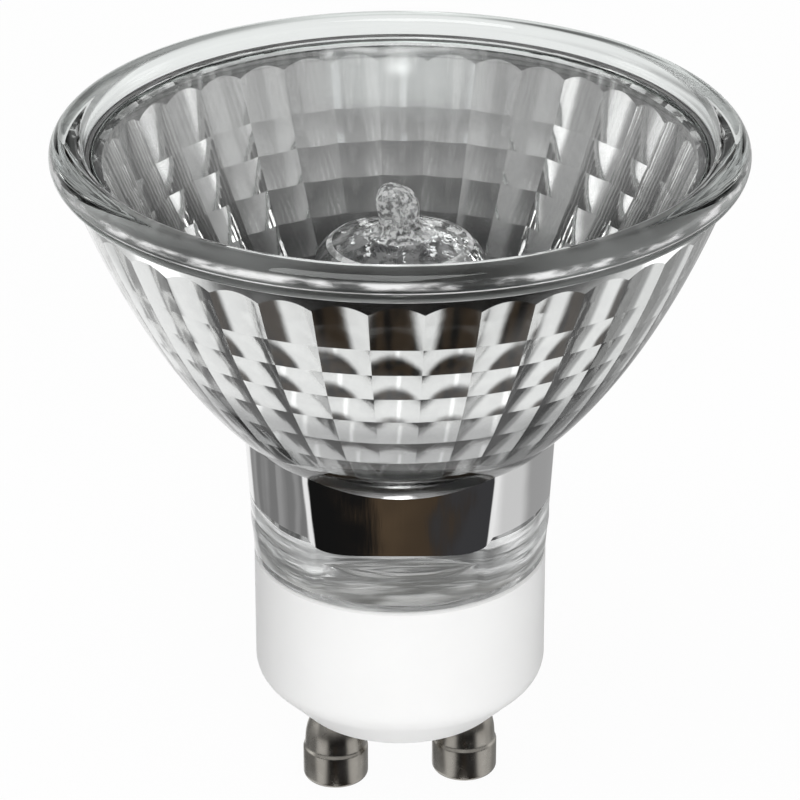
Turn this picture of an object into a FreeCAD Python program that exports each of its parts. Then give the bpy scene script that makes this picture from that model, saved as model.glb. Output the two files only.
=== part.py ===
import FreeCAD, Part
import math
import os

# Halogen spotlight bulb: a faceted glass reflector with a quartz burner, on a two-pin twist-lock ceramic cap.
# Millimetres. The axis is Z, the pin tips stand on Z = 0 and the pins lie on the X axis.

# Contact pins
pin_spacing = 10.0
pin_length = 6.9
pin_head_radius = 2.5
pin_head_height = 2.8
pin_head_round = 0.45
pin_shoulder_height = 0.8
pin_stem_radius = 1.75
pin_shank_radius = 1.5
pin_rivet_radius = 2.4
pin_rivet_height = 0.6
pin_floor = 2.2

# Ceramic cap
cap_radius = 11.0
cap_height = 13.05
cap_wall = 1.6
cap_floor = 4.5
cap_chamfer = 3.3
cap_chamfer_round = 2.0
cap_foot_round = 1.0
cap_lip_bevel = 0.2

# Glass neck, from the cap to the bowl's vertex; its flats stand a few degrees off the plane of the pins
neck_height = 5.29
neck_top_radius = 11.7
neck_flat_distance = 9.4
neck_edge_round = 0.5
neck_turn = 6.0
collar_height = 3.3
spigot_depth = 3.6
slot_length = 15.4
slot_width = 11.0
slot_corner_round = 4.0

# Glass bowl, whose outside is a conic through its vertex and the underside of the rim
bowl_depth = 25.96
bowl_vertex_radius = 13.73
bowl_wall = 1.8
rim_radius = 25.35
rim_height = 2.4
rim_inner_bevel = 0.7

# Facets pressed into the inside of the bowl
facet_columns = 36
facet_rows = 8
facet_top_row = 5.5
facet_floor_height = 3.31
facet_crown = 0.055

# Cover glass and its ring of sealant
glass_radius = 22.4
glass_thickness = 1.4
glass_recess = 1.3
glass_ledge = 0.85
glass_edge_bevel = 0.25
sealant_width = 0.35

# Quartz burner
burner_radius = 6.25
burner_wall = 1.0
burner_foot_gap = 0.4
burner_shoulder_round = 3.0
burner_foot_bevel = 1.6
burner_floor = 2.0
tip_height = 2.4
tip_foot_radius = 1.8
tip_end_radius = 1.2
tip_end_round = 0.7
tip_clearance = 2.1
pinch_stand_off = 2.3
pinch_width = 11.5
pinch_thickness = 3.6
pinch_edge_round = 0.8

# Burner wires
coil_radius = 0.45
coil_spread = 2.3
coil_head_room = 1.65
lead_in_radius = 0.3
lead_in_reach = 2.6
support_radius = 0.2
foil_width = 2.6
foil_thickness = 0.06
foil_cover = 3.0
foil_end_cover = 2.4

# Wires down to the pins
lead_radius = 0.4
lead_clearance = 0.15
lead_bend_radius = 1.2
lead_drop = 1.4
lead_rise = 1.6
fuse_radius = 0.2

# Bonds
cement_head_room = 2.5
cement_gap = 0.5

# Heights, radii and a pitch that follow from these sizes
cap_face_z = pin_length
cap_floor_z = cap_face_z + cap_floor
cap_top_z = cap_face_z + cap_height
spigot_end_z = cap_top_z - spigot_depth
vertex_z = cap_top_z + neck_height
rim_under_z = vertex_z + bowl_depth
rim_face_z = rim_under_z + rim_height
glass_face_z = rim_face_z - glass_recess
seat_z = glass_face_z - glass_thickness
bead_radius = rim_height / 2
bowl_edge_radius = rim_radius - bead_radius
rebate_radius = glass_radius + sealant_width
band_radius = glass_radius - glass_ledge
cap_bore_radius = cap_radius - cap_wall
spigot_radius = cap_bore_radius - cement_gap
bowl_shape = (2 * bowl_vertex_radius * bowl_depth - bowl_edge_radius ** 2) / bowl_depth ** 2
facet_row_pitch = (bowl_depth - facet_top_row - facet_floor_height) / (facet_rows - 1)
tip_z = seat_z - tip_clearance
burner_top_z = tip_z - tip_height
pinch_end_z = spigot_end_z + pinch_stand_off
foil_end_z = pinch_end_z + foil_end_cover


def vector(x, y, z):
    return FreeCAD.Vector(x, y, z)


def line(start, end):
    return Part.LineSegment(start, end).toShape()


def arc(start, middle, end):
    return Part.Arc(start, middle, end).toShape()


def tangent_arc(before, corner, after, size):
    """The arc of this radius that rounds the corner between two straight runs."""
    arriving = (corner - before).normalize()
    leaving = (after - corner).normalize()
    half_turn = arriving.getAngle(leaving) / 2
    setback = size * math.tan(half_turn)
    inward = (leaving - arriving).normalize()
    middle = corner + inward * (size / math.cos(half_turn) - size)
    return corner - arriving * setback, middle, corner + leaving * setback


def section_point(radius, height):
    """A point of a half section, in the plane of X and Z."""
    return vector(radius, 0, height)


def revolve(edges):
    """Turns a closed half section once round the Z axis."""
    face = Part.Face(Part.Wire(edges))
    return face.revolve(vector(0, 0, 0), vector(0, 0, 1), 360)


def turned(corners):
    """A turned body from the corners of its half section: radius, height, and a round if the corner has one."""
    points = [section_point(corner[0], corner[1]) for corner in corners]
    bends = []
    for number, corner in enumerate(corners):
        if len(corner) == 3:
            after = points[(number + 1) % len(points)]
            bends.append(tangent_arc(points[number - 1], points[number], after, corner[2]))
        else:
            bends.append((points[number],))
    edges = []
    for number, bend in enumerate(bends):
        edges.append(line(bends[number - 1][-1], bend[0]))
        if len(bend) == 3:
            edges.append(arc(*bend))
    return revolve(edges)


def tube(inner_radius, outer_radius, low_z, high_z):
    outer = Part.makeCylinder(outer_radius, high_z - low_z, vector(0, 0, low_z))
    inner = Part.makeCylinder(inner_radius, high_z - low_z, vector(0, 0, low_z))
    return outer.cut(inner)


def bowl_height(radius):
    """Height of the bowl's outer conic above its vertex."""
    root = math.sqrt(bowl_vertex_radius ** 2 - bowl_shape * radius ** 2)
    return radius ** 2 / (bowl_vertex_radius + root)


def bowl_radius(height):
    """Radius of the bowl's outer conic at a height above its vertex."""
    return math.sqrt(2 * bowl_vertex_radius * height - bowl_shape * height ** 2)


def inner_ring(height):
    """Radius and Z of the point one wall inside the outer conic, where the conic has this height."""
    radius = bowl_radius(height)
    slope = radius / math.sqrt(bowl_vertex_radius ** 2 - bowl_shape * radius ** 2)
    length = math.sqrt(1 + slope ** 2)
    return radius - bowl_wall * slope / length, vertex_z + height + bowl_wall / length


def bowl_curve():
    """The bowl's outer conic from its vertex to its edge, as one exact rational curve."""
    slope = bowl_edge_radius / math.sqrt(bowl_vertex_radius ** 2 - bowl_shape * bowl_edge_radius ** 2)
    tangent_radius = bowl_edge_radius - bowl_depth / slope
    curve = Part.BezierCurve()
    curve.setPoles([
        section_point(0, vertex_z),
        section_point(tangent_radius, vertex_z),
        section_point(bowl_edge_radius, rim_under_z),
    ])
    curve.setWeight(2, math.sqrt(bowl_depth * bowl_vertex_radius / 2) / tangent_radius)
    return curve.toShape()


def bowl_blank():
    """The bowl and its rim, solid below the seat of the cover glass."""
    bead_z = rim_under_z + bead_radius
    bead = arc(
        section_point(bowl_edge_radius, rim_under_z),
        section_point(rim_radius, bead_z),
        section_point(bowl_edge_radius, rim_face_z),
    )
    corners = [
        section_point(bowl_edge_radius, rim_face_z),
        section_point(rebate_radius + rim_inner_bevel, rim_face_z),
        section_point(rebate_radius, rim_face_z - rim_inner_bevel),
        section_point(rebate_radius, seat_z),
        section_point(0, seat_z),
        section_point(0, vertex_z),
    ]
    edges = [line(start, end) for start, end in zip(corners, corners[1:])]
    return revolve([bowl_curve(), bead] + edges)


def flattened_outline(radius, height):
    """A circle cut by two flats across Y, with its four corners rounded."""
    corner_y = neck_flat_distance - neck_edge_round
    corner_x = math.sqrt((radius - neck_edge_round) ** 2 - corner_y ** 2)
    side_turn = math.atan2(corner_y, corner_x)
    corner_turn = (side_turn + math.pi / 2) / 2

    def around(centre_x, centre_y, size, turn):
        return vector(centre_x + size * math.cos(turn), centre_y + size * math.sin(turn), height)

    edges = []
    for side in (1, -1):
        start = 0 if side == 1 else math.pi
        low_corner = (side * corner_x, -side * corner_y, neck_edge_round)
        high_corner = (side * corner_x, side * corner_y, neck_edge_round)
        low_turns = (start - math.pi / 2, start - corner_turn, start - side_turn)
        side_turns = (start - side_turn, start, start + side_turn)
        high_turns = (start + side_turn, start + corner_turn, start + math.pi / 2)
        edges.append(arc(*[around(*low_corner, turn) for turn in low_turns]))
        edges.append(arc(*[around(0, 0, radius, turn) for turn in side_turns]))
        edges.append(arc(*[around(*high_corner, turn) for turn in high_turns]))
        flat_y = side * neck_flat_distance
        edges.append(line(vector(side * corner_x, flat_y, height), vector(-side * corner_x, flat_y, height)))
    return Part.Wire(edges)


def neck_blank():
    """The flattened neck, its round collar and the spigot that goes into the cap."""
    top_z = vertex_z + bowl_height(neck_top_radius) + bowl_wall / 2
    low = flattened_outline(cap_radius, cap_top_z)
    high = flattened_outline(neck_top_radius, top_z)
    flattened = Part.makeLoft([low, high], True, True)
    flattened.rotate(vector(0, 0, 0), vector(0, 0, 1), -neck_turn)
    collar = Part.makeCylinder(cap_radius, collar_height, vector(0, 0, cap_top_z))
    spigot = Part.makeCylinder(spigot_radius, spigot_depth + collar_height, vector(0, 0, spigot_end_z))
    return flattened.fuse([collar, spigot])


def facet_face(low, high, left, right):
    """One facet between two rings and two column edges: a rib that crowns towards the axis."""
    half_turn = (right - left) / 2
    middle = left + half_turn
    rows = []
    for radius, height in (low, high):
        width = 2 * radius * math.sin(half_turn)
        rib = radius * math.cos(half_turn) - 2 * facet_crown * width
        rows.append([
            vector(radius * math.cos(left), radius * math.sin(left), height),
            vector(rib * math.cos(middle), rib * math.sin(middle), height),
            vector(radius * math.cos(right), radius * math.sin(right), height),
        ])
    surface = Part.BSplineSurface()
    surface.buildFromPolesMultsKnots(rows, [2, 2], [3, 3], [0, 1], [0, 1], False, False, 1, 2)
    return surface.toShape()


def facet_rings():
    """Radius and Z of the rings between the rows of facets, from the neck up to above the seat."""
    overshoot = 2 * facet_crown * band_radius
    rings = [inner_ring(bowl_depth + overshoot)]
    for row in range(facet_rows):
        rings.append(inner_ring(bowl_depth - facet_top_row - row * facet_row_pitch))
    rings.reverse()
    return rings


def facet_plunger():
    """The shape of the cavity: rows of crowned facets that end in arches at a plain round band."""
    pitch = 2 * math.pi / facet_columns
    rings = facet_rings()
    faces = []
    for low, high in zip(rings, rings[1:]):
        for column in range(facet_columns):
            faces.append(facet_face(low, high, column * pitch, (column + 1) * pitch))
    for row_faces, edge_z in ((faces[:facet_columns], rings[0][1]), (faces[-facet_columns:], rings[-1][1])):
        scallops = []
        for face in row_faces:
            for edge in face.Edges:
                if edge.BoundBox.ZLength < 1e-6 and abs(edge.BoundBox.ZMin - edge_z) < 1e-6:
                    scallops.append(edge)
        faces.append(Part.Face(Part.Wire(Part.__sortEdges__(scallops))))
    shell = Part.makeShell(faces)
    shell.sewShape()
    plunger = Part.makeSolid(Part.Shell(shell.Faces))
    if plunger.Volume < 0:
        plunger.reverse()
    low_z = rings[0][1]
    band = Part.makeCylinder(band_radius, rings[-1][1] - low_z, vector(0, 0, low_z))
    return plunger.common(band)


def upright_block(length, width, low_z, high_z, corner_round):
    """A block about the axis, long in X, with rounded upright edges."""
    height = high_z - low_z
    block = Part.makeBox(length, width, height, vector(-length / 2, -width / 2, low_z))
    upright = [edge for edge in block.Edges if edge.BoundBox.ZLength > height / 2]
    return block.makeFillet(corner_round, upright)


def neck_slot(high_z):
    """The slot through the spigot and the neck, up to a height."""
    return upright_block(slot_length, slot_width, spigot_end_z, high_z, slot_corner_round)


def make_reflector():
    glass = bowl_blank().fuse(neck_blank()).removeSplitter()
    floor_z = facet_rings()[0][1]
    return glass.cut([facet_plunger(), neck_slot(floor_z + bowl_wall)])


def make_front_glass():
    bevel_radius = glass_radius - glass_edge_bevel
    return turned([
        (0, seat_z),
        (bevel_radius, seat_z),
        (glass_radius, seat_z + glass_edge_bevel),
        (glass_radius, glass_face_z - glass_edge_bevel),
        (bevel_radius, glass_face_z),
        (0, glass_face_z),
    ])


def make_front_sealant():
    return tube(glass_radius, rebate_radius, seat_z, glass_face_z)


def burner_foot_z():
    return facet_rings()[0][1] + burner_foot_gap


def burner_body():
    """The burner's outside: a tube with a bevelled foot, round shoulders and the stub of its exhaust tube."""
    foot_z = burner_foot_z()
    return turned([
        (0, foot_z),
        (burner_radius - burner_foot_bevel, foot_z),
        (burner_radius, foot_z + burner_foot_bevel),
        (burner_radius, burner_top_z, burner_shoulder_round),
        (tip_foot_radius, burner_top_z),
        (tip_end_radius, tip_z, tip_end_round),
        (0, tip_z),
    ])


def burner_hollow():
    """The gas space, one wall inside the burner's outside."""
    floor_z = burner_foot_z() + burner_floor
    roof_z = burner_top_z - burner_wall
    radius = burner_radius - burner_wall
    shoulder = burner_shoulder_round - burner_wall
    bevel = shoulder * math.tan(math.pi / 8)
    return turned([
        (0, floor_z),
        (radius, floor_z),
        (radius, roof_z - shoulder),
        (radius - bevel, roof_z - bevel),
        (radius - shoulder, roof_z),
        (0, roof_z),
    ])


def make_burner(wires):
    """The quartz envelope: a tube closed by its tip and its pinch, sealed round the wires that pass the pinch."""
    pinch_top_z = burner_foot_z() + burner_floor / 2
    pinch = upright_block(pinch_width, pinch_thickness, pinch_end_z, pinch_top_z, pinch_edge_round)
    quartz = burner_body().fuse(pinch)
    return quartz.cut([burner_hollow()] + wires)


def bent_path(points, bend_radius):
    """Straight runs joined by tangent arcs."""
    edges = []
    start = points[0]
    for before, corner, after in zip(points, points[1:], points[2:]):
        bend = tangent_arc(before, corner, after, bend_radius)
        edges.append(line(start, bend[0]))
        edges.append(arc(*bend))
        start = bend[-1]
    edges.append(line(start, points[-1]))
    return Part.Wire(edges)


def wire_along(path, radius):
    """A round wire swept along a path."""
    first = path.OrderedEdges[0]
    direction = first.tangentAt(first.FirstParameter)
    section = Part.Wire(Part.makeCircle(radius, path.OrderedVertexes[0].Point, direction))
    return path.makePipeShell([section], True, False)


def coil_foot_z():
    return burner_foot_z() + burner_floor + lead_in_reach


def coil_leg_top_z():
    """Height of the coil's legs, below a half turn that keeps its head room under the burner's roof."""
    return burner_top_z - burner_wall - coil_head_room - coil_radius - coil_spread


def make_filament():
    """The coil's envelope: two legs joined by a half turn."""
    leg_top_z = coil_leg_top_z()
    bend = arc(
        vector(-coil_spread, 0, leg_top_z),
        vector(0, 0, leg_top_z + coil_spread),
        vector(coil_spread, 0, leg_top_z),
    )
    path = Part.Wire([
        line(vector(-coil_spread, 0, coil_foot_z()), vector(-coil_spread, 0, leg_top_z)),
        bend,
        line(vector(coil_spread, 0, leg_top_z), vector(coil_spread, 0, coil_foot_z())),
    ])
    return wire_along(path, coil_radius)


def foil_top_z():
    return burner_foot_z() - foil_cover


def make_lead_in(side):
    low_z = foil_top_z()
    return Part.makeCylinder(lead_in_radius, coil_foot_z() - low_z, vector(side * coil_spread, 0, low_z))


def make_foil(side):
    corner = vector(side * coil_spread - foil_width / 2, -foil_thickness / 2, foil_end_z)
    return Part.makeBox(foil_width, foil_thickness, foil_top_z() - foil_end_z, corner)


def make_support(filament):
    """The straight hook wire from the pinch up to the crown of the coil."""
    low_z = foil_top_z()
    crown_z = coil_leg_top_z() + coil_spread
    wire = Part.makeCylinder(support_radius, crown_z - low_z, vector(0, 0, low_z))
    return wire.cut(filament)


def lead_points(side):
    """Corners of a lead's route from its foil to the floor of its pin."""
    foil_x = side * coil_spread
    pin_x = side * pin_spacing / 2
    return [
        vector(foil_x, 0, foil_end_z),
        vector(foil_x, 0, spigot_end_z - lead_drop),
        vector(pin_x, 0, cap_floor_z + lead_rise),
        vector(pin_x, 0, pin_floor),
    ]


def make_whole_lead(side):
    return wire_along(bent_path(lead_points(side), lead_bend_radius), lead_radius)


def fuse_joint_z():
    """Height of the weld between the right-hand lead and its fuse, just under the spigot."""
    return spigot_end_z


def make_short_lead(side):
    top = lead_points(side)[0]
    return Part.makeCylinder(lead_radius, top.z - fuse_joint_z(), vector(top.x, 0, fuse_joint_z()))


def make_fuse(side):
    route = lead_points(side)
    route[0] = vector(route[0].x, 0, fuse_joint_z())
    return wire_along(bent_path(route, lead_bend_radius), fuse_radius)


def make_pin(side):
    """A turned pin: head, shoulder, stem, and a shank riveted over the cap's floor, bored for its wire."""
    bore_radius = lead_radius + lead_clearance
    rivet_z = cap_floor_z + pin_rivet_height
    pin = turned([
        (0, 0),
        (pin_head_radius, 0, pin_head_round),
        (pin_head_radius, pin_head_height),
        (pin_stem_radius, pin_head_height + pin_shoulder_height),
        (pin_stem_radius, cap_face_z),
        (pin_shank_radius, cap_face_z),
        (pin_shank_radius, cap_floor_z),
        (pin_rivet_radius, cap_floor_z),
        (pin_rivet_radius, rivet_z),
        (bore_radius, rivet_z),
        (bore_radius, pin_floor),
        (0, pin_floor),
    ])
    pin.translate(vector(side * pin_spacing / 2, 0, 0))
    return pin


def make_cap():
    """The ceramic cup: chamfered foot, thick floor with two pin holes, and an open top."""
    cup = turned([
        (0, cap_face_z),
        (cap_radius - cap_chamfer, cap_face_z, cap_foot_round),
        (cap_radius, cap_face_z + cap_chamfer, cap_chamfer_round),
        (cap_radius, cap_top_z - cap_lip_bevel),
        (cap_radius - cap_lip_bevel, cap_top_z),
        (cap_bore_radius, cap_top_z),
        (cap_bore_radius, cap_floor_z),
        (0, cap_floor_z),
    ])
    holes = []
    for side in (-1, 1):
        hole_foot = vector(side * pin_spacing / 2, 0, cap_face_z)
        holes.append(Part.makeCylinder(pin_shank_radius, cap_floor, hole_foot))
    return cup.cut(holes)


def make_capsule_cement(burner, wires):
    """The plug round the pinch and its wires, in the slot of the neck."""
    plug = neck_slot(facet_rings()[0][1] - cement_head_room)
    return plug.cut([burner] + wires)


def make_base_cement():
    return tube(spigot_radius, cap_bore_radius, spigot_end_z, cap_top_z)


nodes = {}
nodes["reflector"] = make_reflector()
nodes["front_glass"] = make_front_glass()
nodes["front_sealant"] = make_front_sealant()
nodes["filament"] = make_filament()
nodes["filament_support"] = make_support(nodes["filament"])
for name, direction in (("left", -1), ("right", 1)):
    nodes["lead_in_" + name] = make_lead_in(direction)
    nodes["foil_" + name] = make_foil(direction)
    nodes["contact_pin_" + name] = make_pin(direction)
nodes["outer_lead_left"] = make_whole_lead(-1)
nodes["outer_lead_right"] = make_short_lead(1)
nodes["fuse_wire"] = make_fuse(1)
sealed_wires = [nodes["outer_lead_left"], nodes["outer_lead_right"], nodes["filament_support"]]
for name in ("left", "right"):
    sealed_wires.append(nodes["lead_in_" + name])
    sealed_wires.append(nodes["foil_" + name])
nodes["capsule_envelope"] = make_burner(sealed_wires)
nodes["capsule_cement"] = make_capsule_cement(nodes["capsule_envelope"], sealed_wires)
nodes["base_cement"] = make_base_cement()
nodes["base_shell"] = make_cap()

os.makedirs("parts", exist_ok=True)
for name, shape in nodes.items():
    shape.exportStep("parts/" + name + ".step")
    print(name, shape.ShapeType, len(shape.Solids), shape.isValid(), round(shape.Volume, 2), shape.BoundBox)
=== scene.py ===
import math
import random
from collections import namedtuple

import bmesh
import bpy
import numpy as np
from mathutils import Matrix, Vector


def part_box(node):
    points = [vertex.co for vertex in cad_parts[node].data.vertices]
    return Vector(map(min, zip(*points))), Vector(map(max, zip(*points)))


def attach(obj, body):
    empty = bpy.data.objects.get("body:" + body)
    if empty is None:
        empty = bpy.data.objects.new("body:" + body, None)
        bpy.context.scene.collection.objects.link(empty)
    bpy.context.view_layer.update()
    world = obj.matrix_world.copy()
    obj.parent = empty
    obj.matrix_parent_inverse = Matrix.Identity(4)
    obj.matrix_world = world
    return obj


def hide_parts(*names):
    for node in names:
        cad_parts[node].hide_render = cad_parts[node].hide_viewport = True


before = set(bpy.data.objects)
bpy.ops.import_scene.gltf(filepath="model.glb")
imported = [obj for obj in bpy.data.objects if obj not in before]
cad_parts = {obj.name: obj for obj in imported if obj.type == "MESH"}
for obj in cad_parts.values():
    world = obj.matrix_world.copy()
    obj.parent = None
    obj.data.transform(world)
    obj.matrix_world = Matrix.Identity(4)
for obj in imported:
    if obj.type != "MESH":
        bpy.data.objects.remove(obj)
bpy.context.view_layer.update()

# Reflector: bowl, rolled rim and flattened neck, pressed in one piece of clear glass.
# Columns of pillow facets cover its inside, under a film of aluminium that is a mirror from both sides.
# A round spigot under the neck's collar is cemented into the cap.
MM = 0.001
reflector_low, reflector_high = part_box("reflector")
cover_low, cover_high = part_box("front_glass")
cap_low, cap_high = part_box("base_shell")

rim_radius = reflector_high.x
rim_face = reflector_high.z
rim_height = 2.4 * MM
rim_bead = rim_height / 2
rim_foot = rim_face - rim_height
bead_steps = 14
cover_seat = cover_low.z
rebate_radius = cover_high.x + 0.35 * MM
rebate_round = 0.7 * MM
rebate_steps = 8
band_radius = cover_high.x - 0.85 * MM

collar_radius = cap_high.x
collar_foot = cap_high.z
collar_top = collar_foot + 3.3 * MM
collar_round = 0.5 * MM
collar_ledge_share = 0.4
collar_arris = 0.2 * MM
spigot_radius = 8.9 * MM
spigot_end = reflector_low.z
joint_film = 0.03 * MM

slot_half_length = 7.7 * MM
slot_half_width = 5.5 * MM
slot_corner = 4.0 * MM
slot_lip = 0.5 * MM
slot_floor_share = 0.985
slot_steps = 8
coat_foot = collar_top + 0.4 * MM

bowl_vertex = collar_foot + 5.29 * MM
bowl_depth = rim_foot - bowl_vertex
bowl_edge = rim_radius - rim_bead
bowl_wall = 1.8 * MM
vertex_curve = 13.73 * MM
bowl_conic = (2 * vertex_curve * bowl_depth - bowl_edge ** 2) / bowl_depth ** 2
bowl_steps = 60
bowl_crowding = 1.3

neck_top = bowl_vertex + 6.07 * MM
neck_top_radius = 11.7 * MM
neck_flat = 9.4 * MM
neck_bow = 0.15 * MM
neck_edge = 1.1 * MM
neck_turn = math.radians(6)
neck_steps = 14
film_foot = collar_top + 0.7 * MM
film_rise = 1.3 * MM
film_half_width = 7.0 * MM
film_corner_power = 6

facet_columns = 36
facet_turn = math.radians(1.6)
facet_rows = 8
plain_rows = 2
facet_floor = 3.31 * MM
facet_top_row = 5.5 * MM
facet_crown_across = 0.048
facet_crown_up = 0.011
facet_insets = {6: 0.02 * MM, 7: 0.06 * MM}
steps_across = 8
steps_up = 6

CLEAR, MIRROR, NECK_FILM, CRINKLE, REBATE, BEAD = range(6)
Ring = namedtuple("Ring", "radius height finish crease folds", defaults=(0, False, None))


def placed(name, data):
    """Puts a mesh, a lamp or a camera into the scene."""
    piece = bpy.data.objects.new(name, data)
    bpy.context.scene.collection.objects.link(piece)
    return piece


class Turning:
    """A mesh of rings about an upright axis, each with its own radius and height at every angle."""

    def __init__(self, angles, centre=(0, 0)):
        self.angles = angles
        self.centre = centre
        self.points = np.zeros((0, 3))
        self.faces = []
        self.finishes = []
        self.creases = []

    def add_ring(self, radius, height):
        """Adds the points of a ring, or one point on the axis, and gives their numbers at all the angles."""
        radius = radius + 0 * self.angles
        height = height + 0 * self.angles
        first = len(self.points)
        across = np.stack([radius * np.cos(self.angles), radius * np.sin(self.angles), height], axis=1)
        if np.max(radius) <= 0:
            across = across[:1]
        self.points = np.concatenate([self.points, across + np.array([*self.centre, 0])])
        return [first + number % len(across) for number in range(len(self.angles))]

    def skin(self, rings, closed=False, inward=False):
        """Joins rings into a skin with edges along the creased rings and up the angles that are folds.

        Rings that run up the outside face outward, and inward turns the skin over.
        """
        loops = [self.add_ring(ring.radius, ring.height) for ring in rings]
        pairs = list(zip(range(len(loops)), range(1, len(loops))))
        if closed:
            pairs.append((len(loops) - 1, 0))
        for low, high in pairs:
            folded = rings[low].folds is not None and rings[high].folds is not None
            for here in range(len(self.angles)):
                there = (here + 1) % len(self.angles)
                corners = (loops[low][here], loops[low][there], loops[high][there], loops[high][here])
                # A corner on the axis comes twice and is kept once.
                self.faces.append(tuple(dict.fromkeys(reversed(corners) if inward else corners)))
                self.finishes.append(rings[high].finish)
                if folded and rings[high].folds[here]:
                    self.creases.append((loops[low][here], loops[high][here]))
        for loop, ring in zip(loops, rings):
            if ring.crease:
                self.creases.extend(zip(loop, loop[1:] + loop[:1]))

    def build(self, name, materials):
        """Makes the piece, smooth all over but for its creases."""
        mesh = bpy.data.meshes.new(name)
        mesh.from_pydata(self.points.tolist(), [], self.faces)
        for material in materials:
            mesh.materials.append(material)
        mesh.polygons.foreach_set("use_smooth", np.ones(len(mesh.polygons), dtype=bool))
        mesh.polygons.foreach_set("material_index", np.array(self.finishes, dtype=np.int32))
        count = len(self.points)
        edges = np.zeros(len(mesh.edges) * 2, dtype=np.int64)
        mesh.edges.foreach_get("vertices", edges)
        edges = np.sort(edges.reshape(-1, 2), axis=1)
        sharp = np.sort(np.array(self.creases, dtype=np.int64).reshape(-1, 2), axis=1)
        is_sharp = np.isin(edges[:, 0] * count + edges[:, 1], sharp[:, 0] * count + sharp[:, 1])
        mesh.edges.foreach_set("use_edge_sharp", is_sharp)
        mesh.validate()
        mesh.update()
        return placed(name, mesh)


def rounded(start, centre, end, steps, finish=0):
    """Rings along a quarter round between two points of a section, about its centre."""
    from_turn = math.atan2(start[1] - centre[1], start[0] - centre[0])
    to_turn = math.atan2(end[1] - centre[1], end[0] - centre[0])
    if to_turn - from_turn > math.pi:
        to_turn -= 2 * math.pi
    if from_turn - to_turn > math.pi:
        to_turn += 2 * math.pi
    size = math.hypot(start[0] - centre[0], start[1] - centre[1])
    rings = []
    for step in range(steps + 1):
        turn = from_turn + (to_turn - from_turn) * step / steps
        rings.append(Ring(centre[0] + size * math.cos(turn), centre[1] + size * math.sin(turn), finish))
    return rings


def bowl_radius(height):
    """Radius of the bowl's outside at a height above its vertex."""
    return np.sqrt(np.maximum(2 * vertex_curve * height - bowl_conic * height ** 2, 0))


def inner_ring(height):
    """Radius and height of the point one wall inside the bowl's outside."""
    radius = float(bowl_radius(height))
    slope = radius / math.sqrt(vertex_curve ** 2 - bowl_conic * radius ** 2)
    length = math.sqrt(1 + slope ** 2)
    return radius - bowl_wall * slope / length, bowl_vertex + height + bowl_wall / length


def neck_outline(angles, height):
    """Polar radius of the tapered neck: a circle with two slightly bowed flats, turned from the pins."""
    taper = (neck_top_radius - collar_radius) * (height - collar_foot) / (neck_top - collar_foot)
    radius = collar_radius + taper
    turn = np.abs((angles + neck_turn + math.pi / 2) % math.pi - math.pi / 2)
    edge_y = neck_flat - neck_edge
    reach = radius - neck_edge
    edge_x = np.sqrt(reach ** 2 - edge_y ** 2)
    side_turn = np.arctan2(edge_y, edge_x)
    swing = turn - side_turn
    corner = reach * np.cos(swing) + np.sqrt(np.maximum(neck_edge ** 2 - (reach * np.sin(swing)) ** 2, 0))
    # The least value only keeps the sum finite at angles that are not on a flat.
    up = np.maximum(np.sin(turn), 0.1)
    bow = neck_bow * (1 - (neck_flat * np.cos(turn) / up / edge_x) ** 2)
    on_flat = turn > np.arctan2(neck_flat, edge_x)
    return np.where(on_flat, (neck_flat + bow) / up, np.where(turn < side_turn, radius, corner))


def neck_joint(angles):
    """Height at each angle where the neck runs into the bowl, found by halving."""
    halvings = 30
    low = bowl_vertex + 0 * angles
    high = neck_top + 0 * angles
    for _ in range(halvings):
        middle = (low + high) / 2
        is_neck = bowl_radius(middle - bowl_vertex) < neck_outline(angles, middle)
        low = np.where(is_neck, middle, low)
        high = np.where(is_neck, high, middle)
    return low


def rounded_box(angles, half_length, half_width, corner):
    """Polar radius of a box about the axis, long in X, with rounded upright edges."""
    turn = np.abs((angles + math.pi / 2) % math.pi - math.pi / 2)
    corner_x = half_length - corner
    corner_y = half_width - corner
    reach = math.hypot(corner_x, corner_y)
    swing = turn - math.atan2(corner_y, corner_x)
    edge = reach * np.cos(swing) + np.sqrt(np.maximum(corner ** 2 - (reach * np.sin(swing)) ** 2, 0))
    end = half_length / np.maximum(np.cos(turn), 1e-6)
    side = half_width / np.maximum(np.sin(turn), 1e-6)
    on_end = turn < math.atan2(corner_y, half_length)
    on_side = turn > math.atan2(half_width, corner_x)
    return np.where(on_end, end, np.where(on_side, side, edge))


def slot_rings(angles):
    """The coated wall of the slot, from its mouth up to its rounded lip in the floor of the bowl."""
    outline = rounded_box(angles, slot_half_length + joint_film, slot_half_width + joint_film, slot_corner)
    floor_radius, floor_z = inner_ring(facet_floor)
    room = np.minimum(slot_lip, (slot_floor_share * floor_radius - outline) / 2)
    rings = [Ring(outline, spigot_end, crease=True)]
    for height in np.linspace(spigot_end, coat_foot, slot_steps)[1:]:
        rings.append(Ring(outline, height, CRINKLE))
    for height in np.linspace(coat_foot, floor_z - slot_lip, slot_steps)[1:]:
        rings.append(Ring(outline, height, MIRROR))
    for step in range(1, 5):
        turn = math.pi / 2 * step / 4
        drop = room * (1 - math.sin(turn))
        rings.append(Ring(outline + room * (1 - math.cos(turn)), floor_z - drop, MIRROR))
    return rings


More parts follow.
